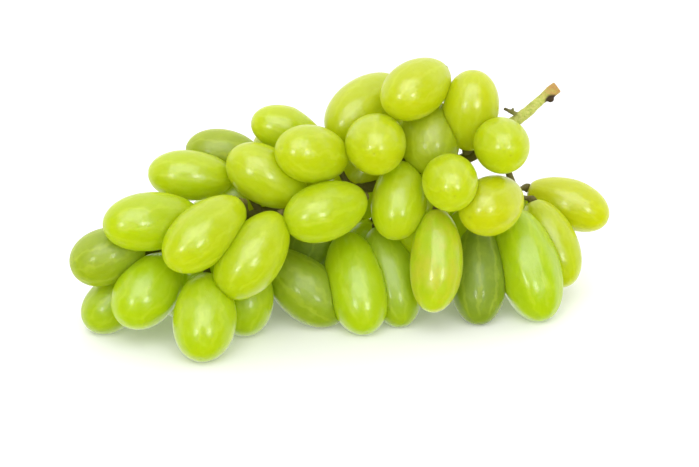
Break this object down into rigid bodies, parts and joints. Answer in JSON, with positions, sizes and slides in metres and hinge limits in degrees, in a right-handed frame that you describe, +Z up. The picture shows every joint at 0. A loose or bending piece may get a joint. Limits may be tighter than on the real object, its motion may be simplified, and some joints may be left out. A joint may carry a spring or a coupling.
{
  "type": "bunch of grapes",
  "caption": "Bunch of pale green, elongated seedless grapes lying on its side, its berries crowded round a branched stem whose cut woody end stands up at one end.",
  "frame": {"origin": "on the surface that the bunch lies on, under the middle of its bounding box", "axes": "+Z up; +X along the bunch, from its tip toward its cut stem; -Y toward the front that the picture shows"},
  "size_m": [0.1762, 0.0884, 0.083],
  "materials": {
    "berry_skin": "gloss",
    "stem_wood": "matte"
  },
  "bodies": {
    "root": {"berries": "berry_skin", "stem": "stem_wood"}
  },
  "joints": []
}
